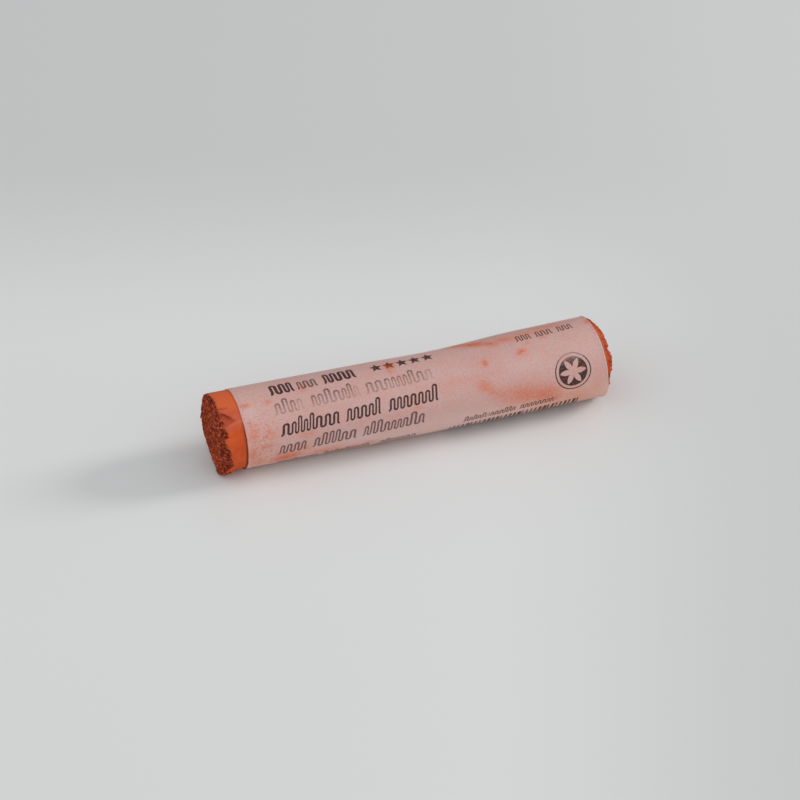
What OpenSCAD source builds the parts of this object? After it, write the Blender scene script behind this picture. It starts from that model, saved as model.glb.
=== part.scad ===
// Soft pastel stick: a round stick of pressed pigment, broken off at one end, in its thin paper wrapper.
//
// It lies on its side, as it comes to rest. X runs along the stick, away from the broken end, and Z is up.
// z = 0 is the surface that it lies on, and the origin is under the middle of the whole stick.
// A station is a distance along the stick from its broken end, and a turn is an angle around the stick:
// 0 is the front (-Y), 90 the top, 180 the back and -90 the bottom.

/* [Pigment stick] */
// Length over both rough ends
stick_len = 65.6; // [58:0.1:90]
// Diameter of the half with the broken end
near_d = 12.76; // [9:0.02:16]
// Diameter of the other half
far_d = 13.12; // [9:0.02:16]
// Station of the middle of the bend
bend_at = 39.5; // [34:0.5:41]
// Length of the curved stretch between the two straight halves
bend_len = 26; // [16:1:28]
// Angle between the two straight halves, seen from above
bend_deg = 2.5; // [0.2:0.1:6]
// How far the radius draws in at the middle of the bend
waist_dip = 0.14; // [0:0.01:0.5]

/* [Paper wrapper] */
// Thickness of the paper
paper_t = 0.12; // [0.06:0.01:0.3]
// Bare pigment between the broken end and the paper
bare_len = 3.9; // [3:0.1:12]
// How far the far end stands out of the paper
far_reach = 0.9; // [0.4:0.05:1.1]
// Tilt of the paper's two cut edges, from being wound on askew
skew_deg = 2.6; // [0:0.1:4]
// Turn at which the askew edges run furthest towards the broken end
skew_at = 128; // [-180:1:180]
// Width of the glued lap, around the stick
lap_w = 4; // [2:0.5:8]
// Turn at which the lap starts
lap_at = 160; // [120:5:190]

/* [Rough ends] */
// Height of the coarse lumps
lump_h = 0.14; // [0:0.02:0.4]
// Width of a coarse lump
lump_w = 2.2; // [1.4:0.1:4]
// Height of the fine grain
grain_h = 0.14; // [0:0.02:0.3]
// Width of a fine grain
grain_w = 0.8; // [0.6:0.05:1.5]
// How deep the chips are that are missing from the rims
chip_h = 0.24; // [0:0.02:0.4]
// Width of a chip
chip_w = 1.3; // [0.8:0.1:3]
// How far the back of the broken face stands out past its front
broken_tilt = 0.25; // [0:0.05:1]
// Turn at which the broken face lies furthest back
worn_at = 10; // [-180:1:180]
// Turn at which the far end stands furthest out of the paper
crest_at = 38; // [-180:1:180]

/* [Burr at the broken end] */
// How far the burr stands out from the side of the stick
burr_h = 0.47; // [0:0.01:0.8]
// Length of the burr along the stick
burr_len = 2; // [1:0.1:2.4]
// Turn at which the burr sits
burr_at = -52; // [-70:1:-20]
// Turn from the middle of the burr to its edge
burr_turn = 26; // [10:1:40]

/* [Hidden] */

// How finely the shapes that aren't true cylinders are drawn
sides = 64;
bend_rings = 8;
face_rings = 9;
lap_steps = 8;

// Such a shape runs this far into the straight stretch beside it, and lies a hair inside its surface
run_in = 0.6;
hair = 0.008;

// The ends of the lap stay this far inside the paper's cut edges
lap_inset = 0.05;

// What is cut off runs this far past the cut
over = 1;
beyond_size = 4 * stick_len;

near_r = near_d / 2;
far_r = far_d / 2;

// Stations of the ends of the bend and of the paper, and where the rough ends begin
bend_a = bend_at - bend_len / 2;
bend_b = bend_at + bend_len / 2;
paper_a = bare_len;
paper_b = stick_len - far_reach;
rough_a = burr_len + 0.6;
rough_b = paper_b - 1;

// Headings of the two straight halves. They leave both ends of the stick at the same Y.
near_turn = -bend_deg * (stick_len - bend_at) / stick_len;
far_turn = bend_deg * bend_at / stick_len;
bend_radius = bend_len / (bend_deg * PI / 180);

function limit(t) = min(1, max(0, t));
function ease(t) = t * t * (3 - 2 * t);
function bump(t) = 16 * t * t * (1 - t) * (1 - t);

// How far through the bend station s is, from 0 to 1
function share(s) = limit((s - bend_a) / bend_len);

// Radius of the pigment, and of the paper around it
function pigment_r(s) = near_r + (far_r - near_r) * ease(share(s)) - waist_dip * bump(share(s));
function paper_r(s) = pigment_r(s) + paper_t;

// The stick's axis seen from above: straight, then an arc, then straight again
function heading(s) = near_turn + (far_turn - near_turn) * share(s);
function ahead(h, d) = [d * cos(h), d * sin(h)];
function arc(h) = bend_radius * [sin(h) - sin(near_turn), cos(near_turn) - cos(h)];
function plan(s) = ahead(near_turn, min(s, bend_a)) + arc(heading(s)) + ahead(far_turn, max(0, s - bend_b));

// The middle of the stick's outline seen from above, with the lap on its back
outline = [for (i = [0:40]) paper_a + (paper_b - paper_a) * i / 40];
front_y = min([for (s = outline) plan(s)[1] - paper_r(s)]);
back_y = max([for (s = outline) plan(s)[1] + paper_r(s)]) + paper_t;
middle = [plan(stick_len)[0] / 2, (front_y + back_y) / 2];

// The point at station s and turn a, r away from the axis. The paper touches the surface all along.
function on_stick(s, a, r) =
    let (p = plan(s) - middle, h = heading(s))
    [p[0] + r * cos(a) * sin(h), p[1] - r * cos(a) * cos(h), paper_r(s) + r * sin(a)];

// Uneven relief from -1 to 1: random heights on a square lattice, smoothed between its points
lattice = 24;
function heights(seed) = rands(-1, 1, lattice * lattice, seed);
function height(table, i, j) = table[(i + lattice) % lattice * lattice + (j + lattice) % lattice];
function blend(p, q, t) = p + (q - p) * ease(t);
function relief(table, u, v) =
    let (i = floor(u), j = floor(v))
    blend(
        blend(height(table, i, j), height(table, i + 1, j), u - i),
        blend(height(table, i, j + 1), height(table, i + 1, j + 1), u - i),
        v - j);

// The same over a round face, at turn a and distance r from its middle, in spots w wide
function spots(table, a, r, w) = relief(table, r * cos(a) / w + lattice / 2, r * sin(a) / w + lattice / 2);

lumps = heights(11);
grains = heights(23);
chips = heights(53);
function roughness(a, r) = lump_h * spots(lumps, a, r, lump_w) + grain_h * spots(grains, a, r, grain_w);
function chipped(a, r) = chip_h * (1 + spots(chips, a, r, chip_w)) / 2;

// Station of the broken face, counted from its outermost grain
function tilted(a, r) = roughness(a, r) + broken_tilt / 2 * r / near_r * cos(a - worn_at);
outermost = min([for (k = [0:face_rings], i = [0:sides - 1]) tilted(turn(i), near_r * k / face_rings)]);
function broken_face(a, r) = tilted(a, r) - outermost;

// Station of the far face: a lip of pigment stands out of the paper on one side, and the rest is about level
function lip(a, r) = ease(limit((r / far_r * cos(a - crest_at) - 0.55) / 0.3));
function far_face(a, r) =
    paper_b + far_reach * lip(a, r) + (roughness(a, r) - lump_h - grain_h) * (1 - lip(a, r) / 2);

// How far the burr stands out at turn a and station s
function burr(a, s) =
    burr_h * (1 - ease(limit(abs(a - burr_at) / burr_turn))) * ease(limit((burr_len - s) / burr_len * 1.6));

// Turns of the points around a ring, in the order that faces outwards for a sweep towards +X
function turn(i) = 360 * i / sides - 180;
function ring_at(s, r) = [for (i = [0:sides - 1]) on_stick(s, turn(i), r - hair)];

// Side faces between rings of n points
function sides_of(rings, n) = [
    for (k = [0:rings - 2], i = [0:n - 1])
        let (p = k * n + i, q = k * n + (i + 1) % n)
        for (f = [[p, q, q + n], [p, q + n, p + n]]) f
];

// A solid swept through rings of points: flat at the first, and flat or drawn to a tip at the last
module swept(rings, tip = undef) {
    n = len(rings[0]);
    last = (len(rings) - 1) * n;
    points = [for (ring = rings, p = ring) p];
    start = [[for (i = [n - 1:-1:0]) i]];
    flat = [[for (i = [0:n - 1]) last + i]];
    pointed = [for (i = [0:n - 1]) [last + i, last + (i + 1) % n, last + n]];
    polyhedron(
        points = is_undef(tip) ? points : concat(points, [tip]),
        faces = concat(start, sides_of(len(rings), n), is_undef(tip) ? flat : pointed));
}

// Puts what lies along +X from its origin onto the stick's axis at station s
module on_axis(s) {
    translate(on_stick(s, 0, 0)) rotate([0, 0, heading(s)]) children();
}

// A straight round bar between two stations
module bar(s0, s1, r) {
    on_axis(s0) rotate([0, 90, 0]) cylinder(h = s1 - s0, r = r, $fn = 64);
}

// The stretch with the bend in it, with its surface moved out by extra
module bend(extra) {
    stations = concat(
        [bend_a - run_in],
        [for (k = [1:bend_rings - 1]) bend_a + bend_len * k / bend_rings],
        [bend_b + run_in]);
    swept([for (s = stations) ring_at(s, pigment_r(s) + extra)]);
}

// The pigment's round body between two stations
module barrel(s0, s1) {
    bar(s0, bend_a, near_r);
    bend(0);
    bar(bend_b, s1, far_r);
}

// The broken end: a short smooth side with the burr on it, then the rough face. It is swept towards -X.
module broken_end() {
    turns = [for (i = [0:sides - 1]) -turn(i)];
    function side_r(a, s) = near_r - hair + burr(a, s);
    side = [for (s = [rough_a + run_in, burr_len, 0.75 * burr_len, 0.5 * burr_len])
        [for (a = turns) on_stick(s, a, side_r(a, s))]];
    shoulder = [for (a = turns) let (s = broken_face(a, near_r) + chip_h / 2) on_stick(s, a, side_r(a, s))];
    rim = [for (a = turns) let (s = broken_face(a, near_r))
        on_stick(s, a, side_r(a, s) - chipped(a, near_r))];
    face = [for (k = [face_rings - 1:-1:1]) let (r = near_r * k / face_rings)
        [for (a = turns) on_stick(broken_face(a, r), a, r)]];
    swept(concat(side, [shoulder, rim], face), tip = on_stick(broken_face(0, 0), 0, 0));
}

// The far end, which stands a little out of the paper
module far_end() {
    turns = [for (i = [0:sides - 1]) turn(i)];
    side = ring_at(rough_b - run_in, far_r);
    shoulder = [for (a = turns) on_stick(far_face(a, far_r) - chip_h / 2, a, far_r - hair)];
    rim = [for (a = turns) on_stick(far_face(a, far_r), a, far_r - hair - chipped(a, far_r))];
    face = [for (k = [face_rings - 1:-1:1]) let (r = far_r * k / face_rings)
        [for (a = turns) on_stick(far_face(a, r), a, r)]];
    swept(concat([side, shoulder, rim], face), tip = on_stick(far_face(0, 0), 0, 0));
}

module pastel_stick() {
    color("#c4552c") union() {
        broken_end();
        barrel(rough_a, rough_b);
        far_end();
    }
}

// How far the paper's askew edges run ahead of its station at turn a and distance r
function askew(a, r) = -r * tan(skew_deg) * cos(a - skew_at);

// Everything beyond a cut edge of the paper, on the side that dir points to
module beyond(s, dir) {
    on_axis(s) rotate([180 - skew_at, 0, 0]) rotate([0, 0, skew_deg])
        translate([dir * beyond_size / 2, 0, 0]) cube(beyond_size, center = true);
}

// The strip where the sheet's end lies over its start, sunk half a thickness into the layer below
module paper_lap() {
    stations = concat(
        [paper_a + lap_inset],
        [for (k = [0:bend_rings - 1]) bend_a + bend_len * (k + 0.5) / bend_rings],
        [paper_b - lap_inset]);
    last = len(stations) - 1;
    n = lap_steps + 1;
    lap_turn = lap_w / near_r * 180 / PI;
    function lap_point(k, i, rise) =
        let (s = stations[k], a = lap_at + lap_turn * i / lap_steps, r = paper_r(s) + rise)
        on_stick(s + (k == 0 || k == last ? askew(a, r) : 0), a, r);
    rings = [for (k = [0:last]) concat(
        [for (i = [0:lap_steps]) lap_point(k, i, paper_t)],
        [for (i = [lap_steps:-1:0]) lap_point(k, i, -paper_t / 2)])];
    start = [for (i = [0:n - 2]) [i + 1, i, 2 * n - 1 - i, 2 * n - 2 - i]];
    end = [for (quad = start) [for (j = [3:-1:0]) quad[j] + 2 * n * last]];
    polyhedron(
        points = [for (ring = rings, p = ring) p],
        faces = concat(start, sides_of(len(rings), 2 * n), end));
}

module paper_wrapper() {
    color("#e2b8ab") difference() {
        union() {
            difference() {
                bar(paper_a - over, bend_a, near_r + paper_t);
                beyond(paper_a, -1);
            }
            bend(paper_t);
            difference() {
                bar(bend_b, paper_b + over, far_r + paper_t);
                beyond(paper_b, 1);
            }
            paper_lap();
        }
        barrel(paper_a - 2 * over, paper_b + 2 * over);
    }
}

pastel_stick();
paper_wrapper();
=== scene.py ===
import math

import bmesh
import bpy
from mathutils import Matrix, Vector, noise


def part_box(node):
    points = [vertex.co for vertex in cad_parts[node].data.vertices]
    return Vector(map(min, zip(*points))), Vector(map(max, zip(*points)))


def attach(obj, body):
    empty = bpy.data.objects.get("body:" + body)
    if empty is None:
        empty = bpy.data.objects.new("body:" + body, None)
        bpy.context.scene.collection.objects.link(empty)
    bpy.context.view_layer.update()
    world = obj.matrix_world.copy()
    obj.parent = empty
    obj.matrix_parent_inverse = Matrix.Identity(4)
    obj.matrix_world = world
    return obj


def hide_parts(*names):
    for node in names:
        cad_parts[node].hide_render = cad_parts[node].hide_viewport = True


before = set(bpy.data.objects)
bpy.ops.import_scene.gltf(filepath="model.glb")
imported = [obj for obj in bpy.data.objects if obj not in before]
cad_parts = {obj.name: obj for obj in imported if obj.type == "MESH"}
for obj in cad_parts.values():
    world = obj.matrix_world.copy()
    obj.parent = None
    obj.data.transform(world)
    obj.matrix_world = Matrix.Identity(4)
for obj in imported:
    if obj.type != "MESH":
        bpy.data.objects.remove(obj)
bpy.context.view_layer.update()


MM = 0.001

# ---------------------------------------------------------------- the stick's shape, in millimetres
# A station is a distance along the stick from its broken end. A turn is an angle around it: 0 faces the front
# and 90 the top.
STICK_LEN = 65.6
NEAR_R = 6.38
FAR_R = 6.56
BEND_AT = 39.5
BEND_LEN = 26.0
BEND_DEG = 2.5
WAIST_DIP = 0.14
PAPER_T = 0.12
PAPER_A = 3.9
PAPER_B = 64.7
SKEW = math.radians(2.6)
SKEW_AT = 128.0
LAP_AT = 160.0
LAP_TURN = 36.0

BEND_A = BEND_AT - BEND_LEN / 2
BEND_B = BEND_AT + BEND_LEN / 2
NEAR_TURN = math.radians(-BEND_DEG * (STICK_LEN - BEND_AT) / STICK_LEN)
FAR_TURN = math.radians(BEND_DEG * BEND_AT / STICK_LEN)
BEND_RADIUS = BEND_LEN / math.radians(BEND_DEG)


def ease(t):
    t = min(1.0, max(0.0, t))
    return t * t * (3 - 2 * t)


def bell(d):
    return math.exp(-d * d)


def share(s):
    return min(1.0, max(0.0, (s - BEND_A) / BEND_LEN))


def pigment_r(s):
    t = share(s)
    return NEAR_R + (FAR_R - NEAR_R) * ease(t) - WAIST_DIP * 16 * t * t * (1 - t) ** 2


def plan(s):
    """The axis seen from above at station s, and its heading."""
    h = NEAR_TURN + (FAR_TURN - NEAR_TURN) * share(s)
    a, b = min(s, BEND_A), max(0.0, s - BEND_B)
    x = a * math.cos(NEAR_TURN) + BEND_RADIUS * (math.sin(h) - math.sin(NEAR_TURN)) + b * math.cos(FAR_TURN)
    y = a * math.sin(NEAR_TURN) + BEND_RADIUS * (math.cos(NEAR_TURN) - math.cos(h)) + b * math.sin(FAR_TURN)
    return x, y, h


paper_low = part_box("paper_wrapper")[0]
along_paper = [PAPER_A + (PAPER_B - PAPER_A) * i / 40 for i in range(41)]
FRONT = min(plan(s)[1] - pigment_r(s) - PAPER_T for s in along_paper)
MID_X = plan(STICK_LEN)[0] / 2
MID_Y = FRONT - paper_low[1] / MM
FLOOR_Z = paper_low[2] / MM


def on_stick(s, p, q):
    """The point at station s, p towards the front and q up from the axis, in metres and never in the table."""
    x, y, h = plan(s)
    z = FLOOR_Z + pigment_r(s) + PAPER_T + q
    return Vector((x - MID_X + p * math.sin(h), y - MID_Y - p * math.cos(h), max(z, FLOOR_Z + 0.002))) * MM


def table_at(table, a):
    """A value at turn a, from pairs of turn and value that go once round."""
    a = (a - table[0][0]) % 360 + table[0][0]
    for (a0, v0), (a1, v1) in zip(table, table[1:] + [(table[0][0] + 360, table[0][1])]):
        if a <= a1:
            return v0 + (v1 - v0) * ease((a - a0) / (a1 - a0))
    return table[0][1]


def rough(v, size, octaves=3, seed=0.0):
    return noise.fractal(Vector(v) / size + Vector((seed, seed * 1.7, seed * 0.3)), 1.0, 2.0, octaves)


def crumbs(v, size, seed=0.0):
    """Rounded crumbs of about that size, from 0 in the seams to 1 on top."""
    d = noise.voronoi(Vector(v) / size + Vector((seed, seed, seed)))[0]
    return min(1.0, (d[1] - d[0]) * 1.6)


# ---------------------------------------------------------------- the pigment
# Where the broken face lies, how far its rim is worn back, and how far the far end stands out of the paper
FACE_AT = 0.12
RIM_BACK = [(-180, 0.0), (-142, 0.05), (-124, 0.28), (-109, 0.37), (-97, 0.4), (-86, 0.38), (-75, 0.2), (-65, 0.02),
            (-55, 0.12), (-46, 0.75), (-38, 1.5), (-28, 1.75), (-17, 1.55), (-7, 1.3), (1, 1.08), (10, 0.72),
            (18, 0.36), (22.5, 0.26), (26, 0.98), (31, 0.8), (38, 0.68), (45, 0.54), (53, 0.3), (69, 0.2), (88, 0.24),
            (105, 0.08), (130, 0.0)]
LIP = [(-180, -0.3), (-60, -0.25), (-24, -0.1), (-18, 0.24), (-13, 0.6), (-8, 0.48), (-3, 0.43), (3, 0.48), (8, 0.6),
       (14, 0.84), (20, 0.98), (30, 1.03), (37, 0.88), (42, 0.6), (48, 0.9), (57, 0.78), (66, 0.7), (73, 0.54),
       (80, 0.4), (86, 0.24), (93, 0.1), (100, 0.02), (112, -0.12), (125, -0.3)]
BURR_AT, BURR_TURN, BURR_LEN, BURR_H = -60.0, 27.0, 3.6, 0.48
# A small crumb that stands out of the broken face's rim at the back
NUB = (-6.12, -0.97)
FACE_CELLS = 140
# The torn crease on the bare band: its turn at the break and how far it falls in each millimetre. The ridge below it
# rises instead, and a short streak lies above both.
CREASE_TURN, CREASE_FALL = 67.2, 6.55
RIDGE_TURN, RIDGE_RISE = 38.2, 2.5
STREAK_TURN = 69.5
MM_PER_DEGREE = 0.111
# Rings of points along the side, close together where the shape is fine
RINGS = [0.1 + 0.13 * i for i in range(36)] + [5.3 + 2.4 * i for i in range(24)]
RINGS += [62.1 + 0.35 * i for i in range(5)] + [63.7 + 0.13 * i for i in range(7)]
LAST_RING = RINGS[-1]
# Stations where the side starts to follow the far face, and where its rim starts to wear
LIP_FROM = 61.5
WORN_FROM = 63.9


def burr(a, s):
    d = abs((a - BURR_AT + 180) % 360 - 180)
    return BURR_H * (1 - ease(d / BURR_TURN)) * ease((BURR_LEN - s) / BURR_LEN * 1.4)


def crumble(p, q):
    """Height of the broken face's crumbs, from about 0 to 1. They lie in slanting streaks."""
    v = (0.95 * (p + q), 0.42 * (p - q), 0)
    return 0.42 * crumbs(v, 0.46, 3) + 0.28 * crumbs(v, 0.26, 7) + 0.3 * (0.5 + rough(v, 0.22, 2, 5))


def near_face(p, q):
    """Station of the broken face."""
    r = math.hypot(p, q)
    a = math.degrees(math.atan2(q, p))
    edge = ease((r / NEAR_R - 0.72) / 0.28)
    v = (p, q, 0)
    nub = 0.24 * bell(math.hypot(p - NUB[0], q - NUB[1]) / 0.26)
    wear = table_at(RIM_BACK, a) + 0.16 * rough(v, 0.5, 2, 9)
    return FACE_AT + 0.14 * rough(v, 2.6, 3, 1) - 0.4 * (1 - 0.55 * edge) * (crumble(p, q) - 0.4) + wear * edge - nub


def scuff(a, s):
    """The torn crease across the bare band: its depth, how far its colour is darkened, and its raised ridge."""
    skin = (math.radians(a) * NEAR_R, s, 0)
    shake = rough(skin, 0.9, 2, 51)
    crease = (a - CREASE_TURN + CREASE_FALL * s) * 0.1 + 0.16 * shake
    ridge = (a - RIDGE_TURN - RIDGE_RISE * s) * MM_PER_DEGREE + 0.14 * shake
    ends = ease((2.9 - s) / 1.5) * ease((s - 0.3) / 0.4)
    cut = bell(crease / 0.17) * ends
    inside = ease(-crease / 0.5 + 0.4) * ease(ridge / 0.55) * (1 - 0.25 * ease((s - 1.4) / 1.6))
    torn = inside * (0.5 + 0.6 * bell(crease / 0.75) + 0.4 * rough((skin[0] * 2.2, skin[1], 0), 0.6, 3, 55))
    streak = bell((a - STREAK_TURN + 2 * shake) * MM_PER_DEGREE / 0.2) * ease((2.3 - s) / 0.8)
    streak *= 0.6 + rough(skin, 0.4, 2, 57)
    lifted = bell((ridge + 0.14) / 0.2) * ease((s - 0.9) / 0.8)
    depth = 0.12 * cut + 0.06 * max(0.0, torn) + 0.04 * max(0.0, streak) - 0.035 * lifted
    return depth, min(1.3, max(0.0, cut + 0.85 * torn + 1.1 * streak)), lifted


def near_edge_at(p, q):
    """Station of the paper's near edge, which is cut askew, in the direction p towards the front and q up."""
    skew = math.tan(SKEW) * math.cos(math.atan2(q, p) - math.radians(SKEW_AT))
    return PAPER_A - (NEAR_R + PAPER_T) * skew + 0.03 * rough((p * 6, q * 6, 0), 0.6, 3, 41)


def far_face(p, q):
    """Station of the far face: a lip of pigment stands out of the paper on one side."""
    r = math.hypot(p, q)
    a = math.degrees(math.atan2(q, p))
    v = (p, q, 0)
    rim = ease((r / FAR_R - 0.45) / 0.45)
    grain = 0.09 * (1 - crumbs(v, 0.6, 13)) + 0.05 * (1 - crumbs(v, 0.32, 17)) + 0.1 * rough(v, 1.6, 3, 21) * (1 - rim)
    ragged = 0.12 * rough(v, 0.5, 2, 23) * ease((r / FAR_R - 0.8) / 0.2)
    return PAPER_B - 0.15 + (table_at(LIP, a) + 0.2) * rim - grain + ragged


def disc(v, radius):
    """A square's point from -1 to 1, moved into a round face."""
    x, y = v.co.x, v.co.y
    return radius * x * math.sqrt(1 - y * y / 2), radius * y * math.sqrt(1 - x * x / 2)


def rim_wear(unit, s, least, most, seed):
    return least + most * max(0.0, rough((unit[0] * 8, unit[1] * 8, s), 0.45, 2, seed))


def near_point(p, q):
    """A point of the broken face and its attributes. p and q are shares of the radius."""
    r = math.hypot(p, q)
    a = math.degrees(math.atan2(q, p))
    worn = rim_wear((p, q), 0, 0.1, 0.2, 35)
    grow = (burr(a, 0.0) * ease((r - 0.86) / 0.14) - worn * ease((r - 0.9) / 0.1)) / NEAR_R
    radius = NEAR_R + NEAR_R * grow
    place = near_face(p * NEAR_R, q * NEAR_R), p * radius, q * radius
    return place, {"broken": 1.0, "height": crumble(p * NEAR_R, q * NEAR_R)}


def far_point(p, q):
    """A point inside the far face and its attributes."""
    worn = rim_wear((p, q), LAST_RING, 0.05, 0.12, 37)
    radius = FAR_R - (worn * ease((math.hypot(p, q) - 0.9) / 0.1) + 0.02)
    place = far_face(p * FAR_R, q * FAR_R), p * radius, q * radius
    # The far face is darkened by half: painted shade, as on the lip.
    return place, {"broken": 0.45, "height": 0.5, "dark_share": 0.5}


def side_point(s, p, q):
    """A point of the round side and its attributes. Both ends of the side follow their faces."""
    a = math.degrees(math.atan2(q, p))
    skin = (p * 8, q * 8, s)
    station = s + near_face(p * NEAR_R, q * NEAR_R) * (1 - ease(s / 2.6))
    station += (far_face(p * FAR_R, q * FAR_R) - LAST_RING) * ease((s - LIP_FROM) / 3.0)
    depth, crease_dark, lift = scuff(a, s) if s < 5 and 20 < a < 90 else (0.0, 0.0, 0.0)
    lump = burr(a, s)
    # Under the paper the bar is a little thinner, so that the sheet never cuts into it
    radius = pigment_r(s) - 0.02 * ease((s - PAPER_A - 0.4) / 0.3) + 0.012 * rough(skin, 1.2, 3, 33)
    radius += lump * (1 + 0.9 * rough(skin, 0.8, 3, 31)) - depth
    worn_near = rim_wear((p, q), 0, 0.1, 0.2, 35)
    worn_far = rim_wear((p, q), LAST_RING, 0.05, 0.12, 37)
    radius -= worn_near * ease((0.5 - s) / 0.5) + worn_far * ease((s - WORN_FROM) / 0.6)
    torn_burr = (0.9 * lump / BURR_H) * ease((1.9 + rough(skin, 0.6, 3, 49) - s) / 0.6)
    # Towards the far end the side partly takes the broken surface's colour and, below, a noisy darkening: painted
    # shade on the lip, which faces the lamp.
    broken = max(ease((0.34 - s) / 0.34), torn_burr, 0.42 * ease((s - WORN_FROM) / 0.3))
    # A dark line is painted on the pigment along the paper's near edge, on the front only: painted shadow under the
    # sheet's edge.
    line = bell((station - near_edge_at(p, q) + 0.03) / 0.15) * ease((52 - a) / 24) * ease((a + 42) / 18)
    # The crease, the painted edge shadow and the far end's painted shade make one dark mix.
    dark_share = max(crease_dark, line, 0.85 * ease((s - 63.7) / 0.5) * (0.8 + 0.8 * rough(skin, 0.5, 3, 47)))
    height = 0.5 + 0.5 * rough(skin, 0.4, 2, 39)
    return (station, radius * p, radius * q), {"broken": broken, "height": height, "dark_share": dark_share, "lifted": lift}


def make_pigment():
    bm = bmesh.new()
    bmesh.ops.create_grid(bm, x_segments=FACE_CELLS, y_segments=FACE_CELLS, size=1)
    layers = {name: bm.verts.layers.float.new(name) for name in ("broken", "height", "dark_share", "lifted")}
    place = {v: (0.0,) + disc(v, 1.0) + ("near",) for v in bm.verts}
    edges = [e for e in bm.edges if e.is_boundary]
    for s in RINGS:
        out = bmesh.ops.extrude_edge_only(bm, edges=edges)["geom"]
        edges = [g for g in out if isinstance(g, bmesh.types.BMEdge)]
        for v in [g for g in out if isinstance(g, bmesh.types.BMVert)]:
            old = [e.other_vert(v) for e in v.link_edges if e.other_vert(v) in place]
            near = min(old, key=lambda w: (w.co - v.co).length)
            place[v] = (s,) + place[near][1:3] + ("side",)
    far_ring = {v for e in edges for v in e.verts}
    before = set(bm.verts)
    bmesh.ops.create_grid(bm, x_segments=FACE_CELLS, y_segments=FACE_CELLS, size=1)
    for v in bm.verts:
        if v not in before:
            place[v] = (LAST_RING,) + disc(v, 1.0) + ("far",)
    for v, (s, p, q, where) in place.items():
        if where == "near":
            v.co, values = near_point(p, q)
        elif where == "far" and math.hypot(p, q) < 0.9999:
            v.co, values = far_point(p, q)
        else:
            # The far face's rim takes the side's own place, so that the two weld
            v.co, values = side_point(s, p, q)
        for name, value in values.items():
            v[layers[name]] = value
    seam = [v for v in bm.verts if v in far_ring or v not in before]
    bmesh.ops.remove_doubles(bm, verts=seam, dist=1e-4)
    for v in bm.verts:
        v.co = on_stick(*v.co)
    bm.normal_update()
    bmesh.ops.recalc_face_normals(bm, faces=bm.faces)
    return finish_mesh(bm, "pigment_stick")


def finish_mesh(bm, name):
    mesh = bpy.data.meshes.new(name)
    bm.to_mesh(mesh)
    bm.free()
    for poly in mesh.polygons:
        poly.use_smooth = True
    obj = bpy.data.objects.new(name, mesh)
    bpy.context.scene.collection.objects.link(obj)
    return obj


# ---------------------------------------------------------------- the paper
# The sheet laid flat has its own coordinates in millimetres: station along, and down from the turn SHEET_TOP round the
# front. The print's origin lies at PRINT_AT, and the print is turned a little against the stick.
SHEET_R = 6.6
SHEET_T = 0.06
SHEET_TOP = 132.0
PRINT_AT = (22.5, 10.0)
PRINT_TILT = math.radians(2.6)
PAPER_CELLS = (260, 176)
# How far the paper's far edge is drawn in, by turn
EDGE_IN = [(-180, 0.0), (-24, 0.04), (8, 0.18), (40, 0.2), (60, 0.24), (80, 0.3), (105, 0.32), (130, 0.2), (165, 0.0)]
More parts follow.
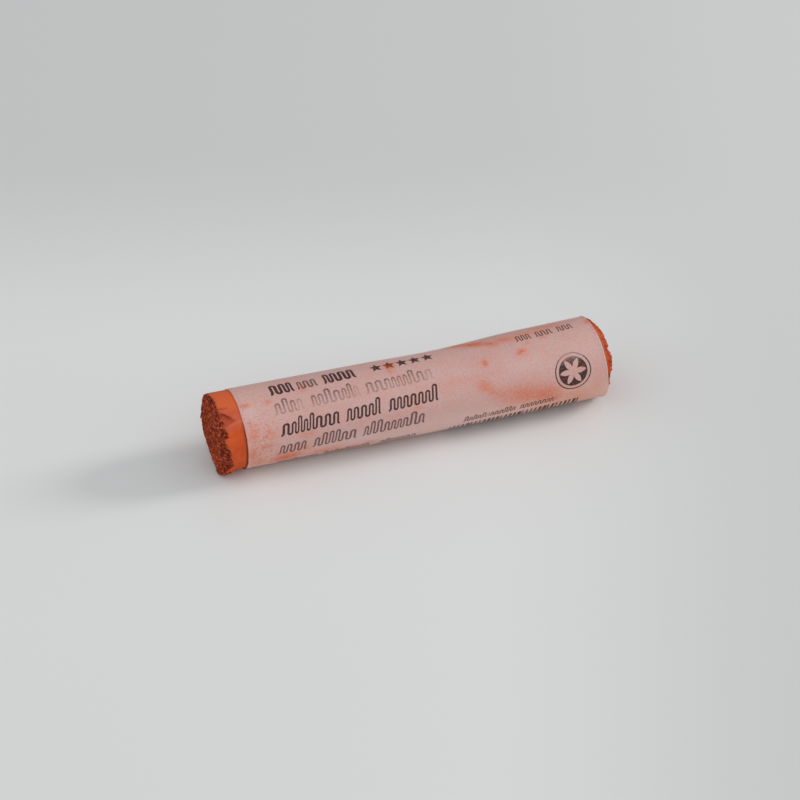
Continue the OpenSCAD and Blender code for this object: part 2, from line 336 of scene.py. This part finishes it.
# Smudges of pigment on the paper: station, distance down, half length, half width, tilt, strength
SMUDGES = [
    (4.7, 7.5, 0.9, 0.35, 0, 0.7), (8.6, 7.6, 0.7, 0.35, 0, 0.5), (4.9, 10.6, 0.5, 0.8, 0, 0.3),
    (5.2, 12.6, 1.0, 1.8, 0, 0.46), (8.0, 13.0, 1.5, 0.9, 0, 0.36), (7.0, 15.0, 1.4, 0.5, -15, 0.5),
    (5.0, 16.2, 0.9, 1.8, 0, 0.55), (5.9, 18.2, 1.8, 1.4, 0, 0.5), (10.6, 18.4, 3.0, 1.3, -8, 0.8),
    (9.4, 17.4, 1.2, 0.8, 0, 0.45), (13.6, 16.8, 1.5, 0.6, 30, 0.4), (17.0, 18.6, 3.4, 0.9, 0, 0.5),
    (24.4, 18.9, 1.3, 0.5, -10, 0.6), (22.0, 18.9, 0.9, 0.4, 0, 0.4), (14.8, 6.4, 0.9, 0.8, 0, 0.38),
    (14.0, 14.0, 1.5, 0.7, 0, 0.34), (29.65, 4.8, 0.78, 0.78, 0, 1.0), (29.4, 6.0, 0.4, 0.7, 0, 0.5),
    (31.8, 11.8, 1.3, 0.5, 0, 0.25), (32.4, 13.1, 0.9, 0.4, 0, 0.3), (42.2, 2.3, 2.0, 0.8, 10, 0.66),
    (44.5, 3.4, 2.4, 0.9, 20, 0.85), (46.8, 4.4, 1.5, 0.7, 24, 0.74), (49.6, 4.3, 2.4, 0.9, 6, 0.56),
    (53.0, 3.9, 3.6, 1.0, 0, 0.4), (57.0, 3.1, 3.4, 0.9, 0, 0.42), (44.75, 8.2, 0.5, 0.75, 0, 0.8),
    (44.2, 7.6, 1.8, 1.4, 0, 0.2), (51.0, 7.7, 0.85, 0.46, -15, 0.85), (51.2, 8.1, 1.6, 1.0, 0, 0.24),
    (55.2, 5.5, 0.9, 0.45, 30, 0.5), (43.8, 11.9, 1.3, 1.1, 30, 0.6), (44.8, 12.9, 1.2, 0.9, 45, 0.52),
    (46.4, 13.9, 2.0, 1.3, 20, 0.4), (48.4, 14.6, 2.6, 1.9, 0, 0.44), (50.6, 15.0, 3.6, 1.9, 10, 0.62),
    (53.6, 15.6, 3.6, 1.8, 8, 0.68), (55.5, 16.5, 2.2, 1.7, 20, 0.56), (56.4, 18.6, 2.2, 1.2, 40, 0.42),
    (59.5, 17.8, 4.2, 2.2, 20, 0.4), (54.3, 19.4, 2.6, 1.2, 0, 0.46), (62.7, 16.5, 1.4, 2.4, 0, 0.26),
    (63.7, 4.3, 0.7, 0.6, 60, 0.6), (60.5, 12.1, 0.36, 0.4, 0, 0.6), (40.5, 10.2, 6.0, 0.7, 0, 0.2),
    (49.8, 5.9, 0.3, 0.25, 0, 0.5), (52.7, 6.2, 0.3, 0.25, 0, 0.5), (20.5, 19.6, 7.0, 0.8, 0, 0.25),
    (27.5, 13.5, 9.0, 0.5, 0, 0.1), (34.0, 25.0, 9.0, 2.0, 5, 0.4), (14.0, 29.0, 3.0, 2.0, 30, 0.5),
    (52.0, 30.0, 4.0, 1.2, -10, 0.5), (25.0, -3.5, 5.0, 1.2, 10, 0.4), (48.0, -5.0, 3.0, 1.5, 0, 0.5),
    (8.0, 34.0, 3.0, 0.9, 10, 0.6), (22.0, 31.5, 1.6, 0.7, -20, 0.7), (30.0, 35.5, 5.0, 1.1, 4, 0.4),
    (43.0, 33.0, 1.0, 0.6, 0, 0.8), (58.0, 34.5, 3.0, 1.0, 15, 0.5), (6.5, 24.0, 2.0, 2.4, 0, 0.5),
    (27.0, 23.0, 1.4, 0.8, 30, 0.6), (45.0, 22.5, 4.5, 1.2, -6, 0.45), (61.0, 26.0, 1.5, 2.2, 0, 0.4),
    (16.0, -2.0, 0.8, 0.5, 0, 0.7), (36.0, -2.5, 2.4, 0.7, -12, 0.5), (58.0, -3.5, 1.2, 0.7, 20, 0.6),
]
# Places where the paper is paler, in the same terms. The long pale patch near the top at station 34 is painted
# reflection, the grey sheen along the top.
PALE = [
    (5.4, 9.1, 1.0, 1.1, 0, 0.4), (27.5, 8.0, 2.0, 1.2, 0, 0.2), (50.5, 9.6, 3.0, 1.2, 0, 0.2),
    (23.0, 17.0, 4.4, 1.6, 0, 0.5), (38.5, 17.3, 5.0, 1.9, 0, 0.5), (61.5, 8.0, 2.0, 3.0, 0, 0.1),
    (31.0, 19.3, 15.0, 2.4, 0, 0.6), (40.0, 8.0, 3.0, 1.6, 0, 0.1), (34.0, 1.2, 6.0, 1.2, 0, 0.45),
]
# Brown patches along the top and low down: painted shade where the sheet turns away from the light
SHADE_PATCHES = [(47.0, 2.2, 6.0, 1.5, 4, 0.13), (56.0, 2.2, 7.0, 1.5, 0, 0.13), (19.0, 19.6, 7.0, 0.7, 0, 0.12),
         (49.0, 20.6, 15.0, 1.0, 0, 0.16)]


def spots(table, x, w):
    out = 0.0
    for sx, sw, hx, hw, tilt, strength in table:
        c, n = math.cos(math.radians(tilt)), math.sin(math.radians(tilt))
        dx, dw = x - sx, w - sw
        d = ((dx * c + dw * n) / hx) ** 2 + ((dw * c - dx * n) / hw) ** 2
        if d < 9:
            out = max(out, strength * math.exp(-d * 0.9))
    return out


def between(a, lo, hi, soft):
    return ease((a - lo) / soft) * ease((hi - a) / soft)


def edge_lift(level, turn, d0, d1):
    """How far the sheet stands off at its lap and its two edges, which lie d0 and d1 away."""
    lift = PAPER_T * ease((turn - (LAP_AT + 360 - 14)) / 14)
    lift += 0.07 * ease((45 - level) / 50) * ease((level + 150) / 30) * (1 - ease(d0 / 0.8))
    lift += 0.05 * (1 - ease(d1 / 0.6)) - 0.055 * ease((level - 5) / 45) * (1 - ease(d0 / 0.7))
    return lift


def paper_marks(s, down, level, turn, d0, d1):
    """What lies on the sheet at that point: pigment smeared, pale places, brown stains and painted shade, and fine
    flecks.
    """
    top = between(level, 86, 175, 14)
    # Stains along the near edge and, on top, the far edge; the near edge's much stronger darkening on the lower half
    # is painted shadow under the lifted sheet.
    edge_stain_and_shadow = (0.1 + 0.9 * ease((50 - level) / 28)) * bell(d0 / 0.11) + 0.6 * top * bell(d1 / 0.12)
    near_smear, far_smear = 1.4 * bell(d0 / 0.05), 0.3 * between(level, 60, 104, 14) * bell(d1 / 0.35)
    lapped = 0.42 * between(turn, LAP_AT + 358, LAP_AT + 400, 2.0)
    far_pale = 0.95 * between(level, 0, 84, 12) * bell(d1 / 0.13)
    return {
        "smear": max(spots(SMUDGES, s, down), near_smear, far_smear),
        "pale": max(spots(PALE, s, down), lapped, far_pale),
        "stain_and_shade": min(1.0, max(edge_stain_and_shadow, spots(SHADE_PATCHES, s, down))),
        "flecked": between(s, 3.6, 9.5, 2.0) * between(down, 8.5, 21.0, 2.5),
    }


def make_paper():
    bm = bmesh.new()
    bmesh.ops.create_grid(bm, x_segments=PAPER_CELLS[0], y_segments=PAPER_CELLS[1], size=0.5)
    uv = bm.loops.layers.uv.new("sheet")
    layers = {name: bm.verts.layers.float.new(name) for name in ("smear", "pale", "stain_and_shade", "flecked")}
    flat = {}
    for v in bm.verts:
        i, j = v.co.x + 0.5, v.co.y + 0.5
        turn = LAP_AT + j * (360 + LAP_TURN)
        a = math.radians(turn)
        level = (turn + 180) % 360 - 180
        p, q = math.cos(a), math.sin(a)
        skew = math.tan(SKEW) * math.cos(math.radians(turn - SKEW_AT))
        near_edge = near_edge_at(p, q)
        far_edge = PAPER_B - (FAR_R + PAPER_T) * skew + 0.03 * rough((p * 6, q * 6, 4), 0.6, 3, 43)
        far_edge -= table_at(EDGE_IN, level)
        # The rows of cells stand closer together towards both edges
        i -= 0.8 * math.sin(2 * math.pi * i) / (2 * math.pi)
        s = near_edge + (far_edge - near_edge) * i
        d0, d1 = s - near_edge, far_edge - s
        lift = edge_lift(level, turn, d0, d1)
        lift += 0.016 * (1 + rough((p * 6.5, q * 6.5, s * 0.25), 2.4, 3, 45))
        r = pigment_r(s) + PAPER_T + lift
        v.co = on_stick(s, r * p, r * q)
        down = (SHEET_TOP - turn + 720) % 360
        down = math.radians(down - 360 if down > 332 else down) * SHEET_R
        flat[v] = (s, down)
        for name, value in paper_marks(s, down, level, turn, d0, d1).items():
            v[layers[name]] = value
    c, n = math.cos(PRINT_TILT), math.sin(PRINT_TILT)
    for face in bm.faces:
        rows = [flat[loop.vert][1] for loop in face.loops]
        wraps = max(rows) - min(rows) > 20
        for loop in face.loops:
            x, w = flat[loop.vert]
            if wraps and w > 20:
                w -= 2 * math.pi * SHEET_R
            x, w = x - PRINT_AT[0], w - PRINT_AT[1]
            loop[uv].uv = (x * c - w * n, x * n + w * c)
    bm.normal_update()
    bmesh.ops.recalc_face_normals(bm, faces=bm.faces)
    # The sheet is open, so its outer side is the one that faces up on top of the stick
    top_face = max(bm.faces, key=lambda f: f.calc_center_median().z)
    if top_face.normal.z < 0:
        bmesh.ops.reverse_faces(bm, faces=bm.faces)
    for edge in bm.edges:
        edge.smooth = not edge.is_boundary
    obj = finish_mesh(bm, "paper_sheet")
    solid = obj.modifiers.new("thickness", "SOLIDIFY")
    solid.thickness = SHEET_T * MM
    solid.offset = -1
    return obj


# ---------------------------------------------------------------- materials
class Nodes:
    """A short way to write a node tree: each call adds one node and gives its output."""

    def __init__(self, name):
        self.material = bpy.data.materials.new(name)
        self.material.use_nodes = True
        self.tree = self.material.node_tree
        self.tree.nodes.clear()

    def add(self, kind, inputs=(), out=0, **settings):
        node = self.tree.nodes.new(kind)
        for key, value in settings.items():
            setattr(node, key, value)
        items = inputs.items() if isinstance(inputs, dict) else enumerate(inputs)
        for key, value in items:
            if value is None:
                continue
            if isinstance(value, bpy.types.NodeSocket):
                self.tree.links.new(value, node.inputs[key])
            else:
                node.inputs[key].default_value = value
        return node.outputs[out]

    def math(self, op, *values):
        return self.add("ShaderNodeMath", values, operation=op)

    def plus(self, a, b):
        return self.math("ADD", a, b)

    def minus(self, a, b):
        return self.math("SUBTRACT", a, b)

    def times(self, a, b):
        return self.math("MULTIPLY", a, b)

    def most(self, *values):
        out = values[0]
        for value in values[1:]:
            out = self.math("MAXIMUM", out, value)
        return out

    def size(self, a, b):
        return self.math("SQRT", self.plus(self.times(a, a), self.times(b, b)))

    def span(self, value, lo, hi, to_lo=0.0, to_hi=1.0):
        return self.add("ShaderNodeMapRange", (value, lo, hi, to_lo, to_hi), interpolation_type="SMOOTHSTEP")

    def noise(self, where, scale, detail=2.0, rough=0.5):
        return self.add("ShaderNodeTexNoise", {"Vector": where, "Scale": scale, "Detail": detail, "Roughness": rough})

    def sway(self, w, scale):
        return self.add("ShaderNodeTexNoise", {"W": w, "Scale": scale, "Detail": 0.0}, noise_dimensions="1D")

    def dice(self, w):
        return self.add("ShaderNodeTexWhiteNoise", {"W": w}, noise_dimensions="1D")

    def crumbs(self, where, scale):
        return self.add("ShaderNodeTexVoronoi", {"Vector": where, "Scale": scale})

    def mix(self, share, a, b):
        return self.add("ShaderNodeMix", {0: share, 6: a, 7: b}, out=2, data_type="RGBA")

    def attribute(self, name):
        return self.add("ShaderNodeAttribute", out=2, attribute_name=name)

    def bump(self, height, strength, distance):
        return self.add("ShaderNodeBump", {"Height": height, "Strength": strength, "Distance": distance})

    def surface(self, color, roughness, normal=None, **extra):
        inputs = {"Base Color": color, "Roughness": roughness, "Normal": normal}
        inputs.update({k.replace("_", " "): v for k, v in extra.items()})
        shader = self.add("ShaderNodeBsdfPrincipled", inputs)
        self.tree.links.new(shader, self.tree.nodes.new("ShaderNodeOutputMaterial").inputs[0])
        return self.material


def rgb(r, g, b):
    """A colour as the render shows it, 0 to 255, in the linear values that sockets take."""
    return tuple((c / 255 / 12.92) if c <= 10 else ((c / 255 + 0.055) / 1.055) ** 2.4 for c in (r, g, b)) + (1.0,)


def pigment_material():
    n = Nodes("pigment")
    where = n.add("ShaderNodeTexCoord", out=3)
    mm = n.add("ShaderNodeVectorMath", {0: where, 3: 1000.0}, operation="SCALE")
    broken, height = n.attribute("broken"), n.attribute("height")
    cloud = n.noise(mm, 0.5, 3.0, 0.6)
    fine = n.noise(mm, 3.2, 4.0, 0.7)
    grit = n.crumbs(mm, 3.4)
    torn = n.span(n.plus(broken, n.times(n.minus(fine, 0.5), 0.6)), 0.3, 0.55)

    # Rosier on the upper side, darker low down, and lighter along the top: partly the pigment's own tone, partly
    # painted light and shade by height
    up = n.add("ShaderNodeSeparateXYZ", (mm,), out=2)
    low = n.mix(n.span(cloud, 0.35, 0.7), rgb(194, 75, 29), rgb(200, 86, 42))
    high = n.mix(n.span(cloud, 0.35, 0.7), rgb(189, 84, 56), rgb(195, 92, 64))
    skin = n.mix(n.span(up, 9.7, 10.7), low, high)
    skin = n.mix(n.span(up, 11.9, 12.7, 0, 0.8), skin, rgb(210, 97, 50))
    skin = n.mix(n.span(fine, 0.55, 0.8, 0, 0.35), skin, rgb(224, 122, 84))
    # A dark red is mixed in: in the torn crease, as painted shadow along the paper's near edge, and as painted shade
    # on the far end.
    skin = n.mix(n.times(n.attribute("dark_share"), 0.8), skin, rgb(124, 34, 8))
    skin = n.mix(n.times(n.attribute("lifted"), 0.3), skin, rgb(222, 118, 72))

    # The broken surface is the skin's pigment painted darker, darkest in the seams between crumbs and in the grit's
    # hollows and lighter on the crumbs' tops: painted shade and painted highlights.
    light_by_height = n.plus(n.math("MULTIPLY_ADD", height, 1.25, -0.1), n.times(n.minus(fine, 0.5), 0.7))
    crumb_and_painted_light = n.mix(n.span(light_by_height, 0.14, 0.52), rgb(78, 24, 11), rgb(165, 66, 37))
    crumb_and_painted_light = n.mix(n.span(light_by_height, 0.55, 0.82), crumb_and_painted_light, rgb(212, 110, 78))
    crumb_and_painted_light = n.mix(n.span(grit, 0.55, 0.9, 0, 0.45), crumb_and_painted_light, rgb(64, 20, 11))
    color = n.mix(torn, skin, crumb_and_painted_light)
    relief = n.plus(n.times(fine, n.math("MULTIPLY_ADD", torn, 0.9, 0.1)), n.times(n.times(grit, -0.8), torn))
    return n.surface(color, n.span(torn, 0, 1, 0.62, 0.95), n.bump(relief, 0.8, 0.00012), Specular_IOR_Level=0.15)


def under(n, d, limit, soft=0.04):
    """1 where d is under the limit, with a soft edge."""
    return n.span(d, limit - soft, limit + soft, 1.0, 0.0)


def within(n, value, lo, hi):
    return under(n, n.math("ABSOLUTE", n.minus(value, (lo + hi) / 2)), (hi - lo) / 2)


# Rows of scribble by how strongly they are printed. Each row is the place of its foot, its height, where its words
# start and end, pitch, stroke, slant, how much higher its tall arches are, and a seed.
DARK_ROWS = [
    (-4.2, 2.1, [(-12.4, -8.6), (-3.6, 2.4)], 1.3, 0.44, 0, 0.0, 2),
    (3.0, 1.75, [(-12.9, -3.4), (-2.1, 4.2), (5.5, 13.4)], 1.2, 0.33, 0.2, 0.42, 4),
]
SOFT_ROWS = [
    (-4.2, 1.6, [(-7.7, -4.9)], 1.05, 0.3, 0, 0.0, 1),
    (6.5, 1.6, [(-12.8, -9.1), (-7.8, -0.4), (0.9, 11.2)], 1.15, 0.3, 0.2, 0.42, 5),
]
WORN_ROWS = [(-0.6, 1.7, [(-13.1, -8.4), (-7.1, 1.2), (2.5, 13.2)], 1.2, 0.3, 0, 0.4, 3)]
SMALL_ROWS = [
    (-3.15, 1.25, [(28.6, 31.9), (32.8, 35.2), (36.1, 38.7)], 0.92, 0.22, 0, 0.0, 6),
    (9.0, 0.85, [(17.5, 20.9), (21.6, 26.4), (27.1, 33.1)], 0.72, 0.21, 0.15, 0.4, 7),
    (10.6, 1.2, [(-12.9, -6.5), (-5.2, 2.0), (3.6, 9.6)], 0.85, 0.23, 0, 0.3, 8),
]


def scribble(n, x, y, base, height, words, pitch, stroke, slant, tall, seed):
    """A row of upright pen strokes joined by round turns, which stands for a printed line and says nothing."""
    up = n.minus(base, y)
    xs = n.minus(x, n.times(up, slant)) if slant else x
    xs = n.math("MULTIPLY_ADD", n.sway(n.plus(xs, seed * 17.3), 0.3 / pitch), pitch * 0.7, xs)
    turn_r = pitch / 4
    arch = n.math("ROUND", n.math("DIVIDE", xs, pitch))
    middle = n.times(arch, pitch)
    across = n.math("ABSOLUTE", n.minus(xs, middle))
    is_tall = n.math("GREATER_THAN", n.dice(n.plus(arch, seed * 31.0)), 0.74)
    rise = n.math("MULTIPLY_ADD", is_tall, tall * height, height)
    above = n.math("MAXIMUM", n.minus(up, n.minus(rise, turn_r)), 0.0)
    below = n.math("MAXIMUM", n.minus(turn_r, up), 0.0)
    top = n.math("ABSOLUTE", n.minus(n.size(across, above), turn_r))
    bottom = n.math("ABSOLUTE", n.minus(n.size(n.minus(2 * turn_r, across), below), turn_r))
    line = n.math("MULTIPLY_ADD", n.math("GREATER_THAN", up, height / 2), n.minus(top, bottom), bottom)
    return n.times(under(n, line, stroke / 2), n.most(*[within(n, middle, a, b) for a, b in words]))


def scribbles(n, x, y, rows):
    return n.most(*[scribble(n, x, y, *row) for row in rows])


def stars(n, x, y, first, pitch, count, middle, radius):
    """A row of plain five-pointed stars."""
    i = n.math("ROUND", n.math("DIVIDE", n.minus(x, first), pitch))
    dx = n.minus(n.minus(x, first), n.times(i, pitch))
    dy = n.minus(middle, y)
    fold = n.math("PINGPONG", n.plus(n.math("ARCTAN2", dx, dy), 2 * math.pi), math.pi / 5)
    r = n.size(dx, dy)
    px, py = n.times(r, n.math("COSINE", fold)), n.times(r, n.math("SINE", fold))
    inner = 0.44 * radius
    nx, ny = inner * math.sin(math.pi / 5), radius - inner * math.cos(math.pi / 5)
    size = math.hypot(nx, ny)
    d = n.plus(n.times(n.minus(px, radius), nx / size), n.times(py, ny / size))
    return n.times(under(n, d, 0.0), within(n, x, first - pitch / 2, first + (count - 0.5) * pitch))


def rosette(n, x, y, cx, cy, radius):
    """Six pale petals, drawn with a compass in a dark disc, and a ring around it."""
    dx, dy = n.minus(x, cx), n.minus(y, cy)
    r = n.size(dx, dy)
    fold = n.math("PINGPONG", n.plus(n.math("ARCTAN2", dy, dx), 2 * math.pi), math.pi / 6)
    bow = math.radians(47)
    petal = 0.76 * radius / (2 * math.cos(bow))
    px = n.minus(n.times(r, n.math("COSINE", fold)), petal * math.cos(bow))
    py = n.plus(n.times(r, n.math("SINE", fold)), petal * math.sin(bow))
    petals = under(n, n.size(px, py), petal)
    disc_face = n.times(under(n, r, 0.82 * radius), n.minus(1.0, petals))
    return n.most(disc_face, under(n, n.math("ABSOLUTE", n.minus(r, radius)), 0.1))


def bars(n, x, y, pitch, area):
    """Upright bars of uneven width, in an area given by its left, right, upper and lower sides."""
    place = n.math("DIVIDE", x, pitch)
    wide = n.span(n.dice(n.math("FLOOR", place)), 0.0, 1.0, 0.32, 0.82)
    bar = n.math("LESS_THAN", n.math("FRACT", place), wide)
    return n.times(bar, n.times(within(n, x, area[0], area[1]), within(n, y, area[2], area[3])))


def paper_material():
    """Pink paper, then the dust and smears of pigment on it, its print, and more pigment over the print."""
    n = Nodes("wrapping_paper")
    sheet = n.add("ShaderNodeUVMap", uv_map="sheet")
    x = n.add("ShaderNodeSeparateXYZ", (sheet,), out=0)
    y = n.add("ShaderNodeSeparateXYZ", (sheet,), out=1)
    smear, stain_and_shade = n.attribute("smear"), n.attribute("stain_and_shade")
    cloud = n.noise(sheet, 0.35, 3.0, 0.6)
    fibre = n.noise(sheet, 2.2, 3.0, 0.65)
    chalk = n.noise(sheet, 3.4, 3.0, 0.7)
    fine = n.noise(sheet, 6.5, 2.0, 0.7)

    base = n.mix(n.span(cloud, 0.35, 0.68), rgb(192, 155, 151), rgb(194, 147, 138))
    base = n.mix(n.span(x, -19.0, -6.0, 0.45, 0), base, rgb(214, 168, 156))
    base = n.mix(n.span(fibre, 0.42, 0.66, 0, 0.75), base, rgb(194, 138, 124))
    base = n.mix(n.span(fine, 0.42, 0.64, 0, 0.68), base, rgb(210, 176, 171))
    # Lighter on the lower front and underside: painted light where the lamps light the sheet too little.
    base = n.mix(n.times(n.span(y, 4.5, 10.5, 0, 0.7), n.span(y, 12.5, 19.0, 1, 0)), base, rgb(229, 186, 171))
    base = n.mix(n.times(n.attribute("pale"), 0.8), base, rgb(208, 182, 180))

    grain = n.plus(n.times(n.minus(chalk, 0.5), 1.1), n.times(n.minus(fine, 0.5), 0.7))
    dust = n.span(n.plus(smear, grain), 0.16, 1.0)
    uneven = n.span(n.plus(n.times(chalk, 0.5), n.times(fibre, 0.5)), 0.36, 0.64, 0.62, 1.3)
    dust = n.most(n.times(dust, n.span(smear, 0.02, 0.2)), n.times(smear, uneven))
    curl = n.noise(sheet, 0.95, 3.0, 0.62)
    flecks = n.times(n.span(n.math("ABSOLUTE", n.minus(curl, 0.5)), 0.008, 0.03, 1, 0), n.span(fibre, 0.44, 0.56))
    flecks = n.times(n.most(flecks, n.span(chalk, 0.56, 0.68, 0, 0.6)), n.attribute("flecked"))
    stray = n.times(n.span(chalk, 0.64, 0.74), n.span(cloud, 0.5, 0.64, 0, 0.4))
    dust = n.most(dust, n.times(flecks, 0.85), stray)

    dark = n.most(scribbles(n, x, y, DARK_ROWS), stars(n, x, y, 5.25, 2.19, 5, -5.25, 1.12))
    wear = n.span(n.plus(y, n.times(n.minus(chalk, 0.5), 3.0)), 1.2, 3.2, 0.42, 1.0)
    dark = n.most(dark, n.times(rosette(n, x, y, 36.1, 4.3, 3.0), wear))
    dark = n.most(dark, bars(n, x, y, 0.72, (15.2, 37.4, 9.95, 17.5)))
    soft = n.times(scribbles(n, x, y, SOFT_ROWS), 0.82)
    small = n.times(scribbles(n, x, y, SMALL_ROWS), 0.9)
    worn = scribbles(n, x, y, WORN_ROWS)
    worn = n.times(worn, n.times(n.span(y, -3.0, -0.9, 0.9, 0.42), n.span(chalk, 0.36, 0.56, 0.35, 1.0)))

    # The ink is rubbed thin in places.
    dark_share = n.span(n.plus(n.times(chalk, 0.5), n.times(fine, 0.5)), 0.34, 0.5, 0.62, 1.0)
    ink = n.most(dark, soft, small)
    ink = n.times(n.most(n.times(ink, dark_share), worn), 0.95)

    color = n.mix(n.times(dust, 0.84), base, rgb(204, 100, 46))
    color = n.mix(ink, color, rgb(40, 14, 12))
    color = n.mix(n.times(n.times(dust, dust), 0.5), color, rgb(208, 90, 52))
    # Darker brown: stains along the edges, painted shadow under the near edge, and painted shade in patches along the
    # top and low down.
    color = n.mix(n.times(stain_and_shade, n.span(chalk, 0.3, 0.6, 0.55, 0.95)), color, rgb(126, 50, 32))
    relief = n.plus(fibre, n.times(fine, 0.4))
    return n.surface(color, n.span(dust, 0, 1, 0.5, 0.75), n.bump(relief, 0.25, 0.00006), Specular_IOR_Level=0.2)


def floor_material():
    n = Nodes("pale_floor")
    where = n.add("ShaderNodeTexCoord", out=3)
    away = n.add("ShaderNodeVectorMath", {0: where, 1: (0.329, 0.944, 0.0)}, out=1, operation="DOT_PRODUCT")
    beside = n.add("ShaderNodeVectorMath", {0: where, 1: (0.944, -0.329, 0.0)}, out=1, operation="DOT_PRODUCT")
    soft = n.noise(where, 9.0, 2.0, 0.5)
    color = n.mix(soft, rgb(227, 227, 225), rgb(223, 223, 222))
    # Darker further back and to the right: painted falloff of the light on the floor.
    color = n.mix(n.span(away, 0.02, 0.085), color, rgb(205, 205, 204))
    color = n.mix(n.span(beside, 0.01, 0.065), color, rgb(208, 208, 207))
    return n.surface(color, 0.34, None, Specular_IOR_Level=0.3)


pigment = make_pigment()
pigment.data.materials.append(pigment_material())
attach(pigment, "root")
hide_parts("pastel_stick")

paper = make_paper()
paper.data.materials.append(paper_material())
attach(paper, "root")
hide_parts("paper_wrapper")

# ---------------------------------------------------------------- floor, light and camera
bm = bmesh.new()
bmesh.ops.create_grid(bm, x_segments=8, y_segments=8, size=3.0)
for v in bm.verts:
    v.co.z = FLOOR_Z * MM
floor = finish_mesh(bm, "floor")
floor.data.materials.append(floor_material())

# Soft light from all round, weaker from the upper back
world = bpy.data.worlds.new("studio")
world.use_nodes = True
bpy.context.scene.world = world
tree = world.node_tree
direction = tree.nodes.new("ShaderNodeTexCoord")
facing = tree.nodes.new("ShaderNodeVectorMath")
facing.operation = "DOT_PRODUCT"
facing.inputs[1].default_value = (0.27, 0.77, 0.58)
level = tree.nodes.new("ShaderNodeValToRGB")
level.color_ramp.elements[0].color = (0.56, 0.575, 0.59, 1)
level.color_ramp.elements[1].color = (0.176, 0.176, 0.177, 1)
sky = tree.nodes["Background"]
sky.inputs["Strength"].default_value = 1.8
tree.links.new(direction.outputs["Generated"], facing.inputs[0])
tree.links.new(facing.outputs["Value"], level.inputs[0])
tree.links.new(level.outputs[0], sky.inputs["Color"])


def area(name, place, aim, size, power, color):
    lamp = bpy.data.lights.new(name, "AREA")
    lamp.shape = "DISK"
    lamp.size = size
    lamp.energy = power
    lamp.color = color
    obj = bpy.data.objects.new(name, lamp)
    obj.location = place
    obj.rotation_euler = (Vector(aim) - Vector(place)).to_track_quat("-Z", "Y").to_euler()
    bpy.context.scene.collection.objects.link(obj)


area("key", (0.85, -0.05, 0.4), (0, 0, 0), 0.3, 4.1, (1.0, 0.995, 0.98))

# The camera looks down at the stick from the front, a little from the left. It stands on a line through the stick's
# middle and is turned off that line by the two shifts, which are on the sensor, in millimetres.
azimuth, elevation, distance = math.radians(-19.19), math.radians(35.42), 0.8203
LENS, SENSOR = 229.92, 36.0
SHIFT_RIGHT, SHIFT_UP = -0.3395, -0.2947
back = Vector((math.sin(azimuth) * math.cos(elevation), -math.cos(azimuth) * math.cos(elevation), math.sin(elevation)))
right = Vector((math.cos(azimuth), math.sin(azimuth), 0))
upward = back.cross(right)
middle = Vector((0.2108, 0.28, 6.5)) * MM
look = -back * LENS + right * SHIFT_RIGHT + upward * SHIFT_UP
data = bpy.data.cameras.new("camera")
data.sensor_width = SENSOR
data.lens = LENS
data.clip_start = 0.01
data.clip_end = 20
camera = bpy.data.objects.new("camera", data)
camera.location = middle + back * distance
camera.rotation_euler = look.to_track_quat("-Z", "Y").to_euler()
bpy.context.scene.collection.objects.link(camera)
bpy.context.scene.camera = camera
bpy.context.scene.view_settings.view_transform = "Standard"
